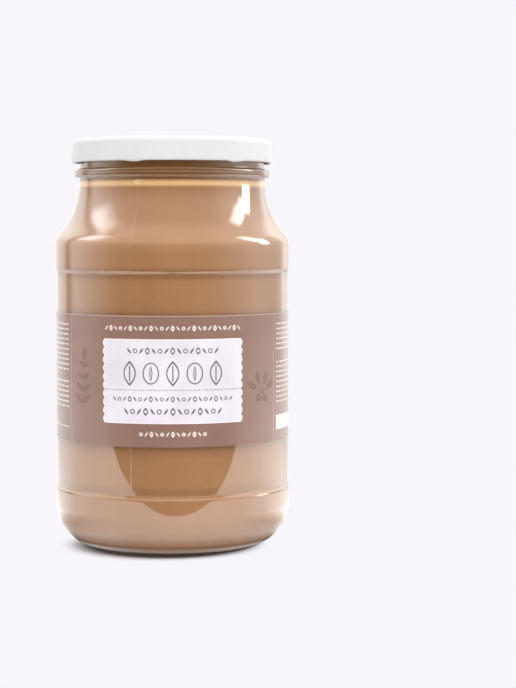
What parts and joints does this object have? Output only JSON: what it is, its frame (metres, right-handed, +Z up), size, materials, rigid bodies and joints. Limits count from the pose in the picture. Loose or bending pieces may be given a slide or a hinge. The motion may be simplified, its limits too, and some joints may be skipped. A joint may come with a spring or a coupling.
{
  "type": "walnut butter jar",
  "caption": "Round glass jar with a wide neck, filled with walnut butter, with a brown wrap label on its recessed panel and a white twist-off metal lid.",
  "frame": {"origin": "on the jar's axis, in the plane of the ring that the jar stands on", "axes": "+Z up along the jar's axis, -Y towards the front panel of the label"},
  "size_m": [0.1008, 0.1008, 0.175],
  "materials": {
    "clear_glass": "clear moulded glass, glossy, with a fine mould seam",
    "walnut_butter": "smooth light brown nut paste, slightly oily",
    "white_lacquer": "white lacquered tinplate, satin gloss",
    "label_paper": "printed label paper, brown with a pale panel, smooth"
  },
  "bodies": {
    "root": {"glass_jar": "clear_glass", "walnut_butter": "walnut_butter", "lid": "white_lacquer", "label": "label_paper"}
  },
  "joints": []
}
